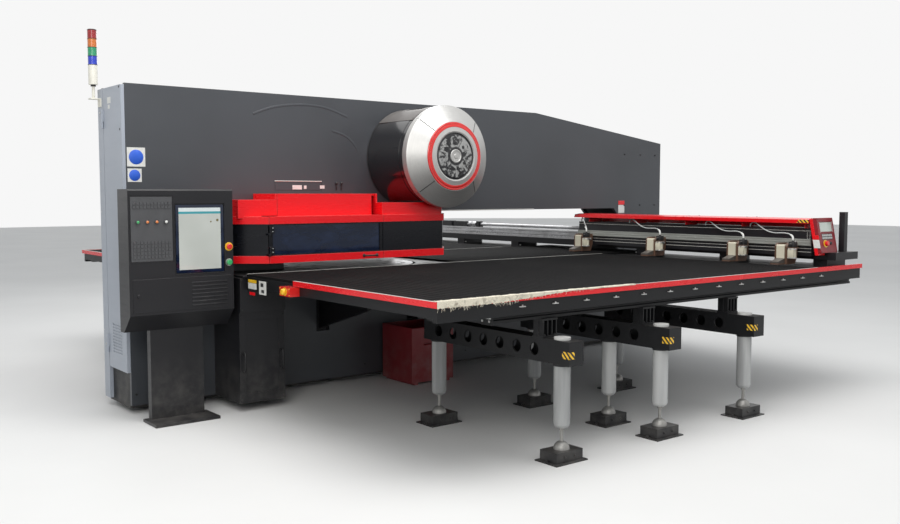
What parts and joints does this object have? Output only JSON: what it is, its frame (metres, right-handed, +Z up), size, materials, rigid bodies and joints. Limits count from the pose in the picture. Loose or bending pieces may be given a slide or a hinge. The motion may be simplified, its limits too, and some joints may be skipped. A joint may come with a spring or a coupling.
{
  "type": "cnc turret punch press",
  "caption": "Bridge-frame turret punch press with a guarded double turret, round motor bezel, travelling brush tables and a clamp carriage under a red cover.",
  "frame": {"origin": "on the floor at the middle of the machine's outer box; Y is zero on the bridge's middle plane", "axes": "+X along the bridge towards the carriage side, +Y from the operator's side to the rear, +Z up"},
  "size_m": [5.96, 6.14, 2.748],
  "materials": {
    "frame_grey": "satin powder coat, dark grey",
    "cover_slate": "satin enamel, dark slate",
    "cabinet_pale": "satin enamel, pale blue-grey",
    "signal_red": "gloss enamel, bright red",
    "deep_red": "satin enamel, dark red",
    "black_paint": "satin enamel, black",
    "gloss_black": "gloss, black",
    "bezel_silver": "brushed",
    "machined_steel": "ground",
    "zinc_steel": "zinc plated",
    "brush_black": "nylon bristle",
    "clamp_bronze": "satin, brown",
    "jaw_cream": "satin, cream",
    "hose_grey": "smooth, pale grey",
    "window_tint": "tinted, smooth",
    "screen_glass": "gloss, dark",
    "key_grey": "matt, dark grey",
    "stop_red": "gloss, red",
    "stop_yellow": "gloss, yellow",
    "start_green": "gloss, green",
    "lens_red": "gloss lens, red",
    "lens_orange": "gloss lens, orange",
    "lens_green": "gloss lens, green",
    "lens_blue": "gloss lens, blue",
    "beacon_cream": "matt, cream"
  },
  "bodies": {
    "machine_frame": {"bridge_frame": "frame_grey", "front_cover": "cover_slate", "rear_cover": "cover_slate", "end_strip": "cabinet_pale", "base_cover": "black_paint", "beacon_base": "beacon_cream", "beacon_blue": "lens_blue", "beacon_green": "lens_green", "beacon_orange": "lens_orange", "beacon_red": "lens_red", "motor_housing_front": "gloss_black", "bezel_front": "bezel_silver", "bezel_ring": "stop_red", "bezel_hub": "gloss_black", "motor_housing_rear": "gloss_black", "guard_left_panel": "signal_red", "guard_right_panel": "signal_red", "guard_rear": "signal_red", "centre_table": "black_paint", "centre_brush": "brush_black", "support_beams_front": "frame_grey", "support_beams_rear": "frame_grey", "levelling_feet": "zinc_steel", "foot_blocks": "black_paint", "console_cabinet": "black_paint", "console_screen": "screen_glass", "console_keys": "key_grey"},
    "cabinet_door": {"cabinet_door": "cabinet_pale"},
    "guard_door": {"guard_door": "signal_red", "guard_window": "window_tint"},
    "upper_turret": {"upper_turret": "machined_steel", "punch_set": "machined_steel"},
    "lower_turret": {"lower_turret": "machined_steel"},
    "ram": {"ram": "machined_steel"},
    "scrap_bin": {"scrap_bin": "deep_red"},
    "console_stop": {"console_stop": "stop_red"},
    "console_start": {"console_start": "start_green"},
    "travelling_table": {"front_table": "frame_grey", "front_brush": "brush_black", "front_trim": "signal_red", "rear_table": "frame_grey", "rear_brush": "brush_black", "rear_trim": "signal_red", "table_stop_box": "stop_red", "carriage_base": "black_paint", "guide_beam": "machined_steel", "drive_motor": "black_paint", "end_cap": "signal_red", "control_box": "deep_red"},
    "ball_screw": {"ball_screw": "machined_steel"},
    "table_stop_button": {"table_stop_button": "stop_yellow"},
    "clamp_carriage": {"carriage_saddle": "black_paint", "carriage_cover": "signal_red", "clamp_bodies": "clamp_bronze", "clamp_hoses": "hose_grey"},
    "control_stop": {"control_stop": "stop_red"},
    "clamp_jaw_1": {"clamp_jaw_1": "jaw_cream"},
    "clamp_jaw_2": {"clamp_jaw_2": "jaw_cream"},
    "clamp_jaw_3": {"clamp_jaw_3": "jaw_cream"},
    "clamp_jaw_4": {"clamp_jaw_4": "jaw_cream"}
  },
  "joints": [
    {"name": "cabinet_door_hinge", "type": "hinge", "parent": "machine_frame", "child": "cabinet_door", "pos_m": [-2.858, 0.128, 1.3], "axis": [0, 0, 1], "range_deg": [-100, 0]},
    {"name": "guard_door_hinge", "type": "hinge", "parent": "machine_frame", "child": "guard_door", "pos_m": [-1.96, -0.711, 1.3], "axis": [0, 0, 1], "range_deg": [-95, 0]},
    {"name": "upper_turret_spin", "type": "hinge", "parent": "machine_frame", "child": "upper_turret", "pos_m": [-0.934, 0, 1.3], "axis": [0, 0, 1], "continuous": true},
    {"name": "lower_turret_spin", "type": "hinge", "parent": "machine_frame", "child": "lower_turret", "pos_m": [-0.934, 0, 0.9], "axis": [0, 0, 1], "continuous": true},
    {"name": "ram_stroke", "type": "slide", "parent": "machine_frame", "child": "ram", "axis": [0, 0, 1], "range_m": [-0.037, 0]},
    {"name": "scrap_bin_slide", "type": "slide", "parent": "machine_frame", "child": "scrap_bin", "axis": [0, -1, 0], "range_m": [0, 0.5]},
    {"name": "console_stop_press", "type": "slide", "parent": "machine_frame", "child": "console_stop", "axis": [0, 1, 0], "range_m": [0, 0.004], "stiffness_N_per_m": 1500},
    {"name": "console_start_press", "type": "slide", "parent": "machine_frame", "child": "console_start", "axis": [0, 1, 0], "range_m": [0, 0.004], "stiffness_N_per_m": 1500},
    {"name": "table_travel", "type": "slide", "parent": "machine_frame", "child": "travelling_table", "axis": [1, 0, 0], "range_m": [-1.55, 0]},
    {"name": "carriage_travel", "type": "slide", "parent": "travelling_table", "child": "clamp_carriage", "axis": [0, 1, 0], "range_m": [0, 3.05]},
    {"name": "ball_screw_spin", "type": "hinge", "parent": "travelling_table", "child": "ball_screw", "pos_m": [1.908, 0, 1.216], "axis": [0, 1, 0], "continuous": true},
    {"name": "table_stop_press", "type": "slide", "parent": "travelling_table", "child": "table_stop_button", "axis": [1, 0, 0], "range_m": [0, 0.004], "stiffness_N_per_m": 1500},
    {"name": "control_stop_press", "type": "slide", "parent": "travelling_table", "child": "control_stop", "axis": [0, 0.9806, -0.1961], "range_m": [0, 0.004], "stiffness_N_per_m": 1500},
    {"name": "clamp_jaw_1_pivot", "type": "hinge", "parent": "clamp_carriage", "child": "clamp_jaw_1", "pos_m": [1.686, -0.315, 1.057], "axis": [0, 1, 0], "range_deg": [0, 8]},
    {"name": "clamp_jaw_2_pivot", "type": "hinge", "parent": "clamp_carriage", "child": "clamp_jaw_2", "pos_m": [1.686, -1.225, 1.057], "axis": [0, 1, 0], "range_deg": [0, 8]},
    {"name": "clamp_jaw_3_pivot", "type": "hinge", "parent": "clamp_carriage", "child": "clamp_jaw_3", "pos_m": [1.686, -2.1, 1.057], "axis": [0, 1, 0], "range_deg": [0, 8]},
    {"name": "clamp_jaw_4_pivot", "type": "hinge", "parent": "clamp_carriage", "child": "clamp_jaw_4", "pos_m": [1.686, -2.557, 1.057], "axis": [0, 1, 0], "range_deg": [0, 8]}
  ],
  "couplings": [
    {"joint": "lower_turret_spin", "follows": "upper_turret_spin", "ratio": 1},
    {"joint": "ball_screw_spin", "follows": "carriage_travel", "rad_per_m": 125.66}
  ]
}
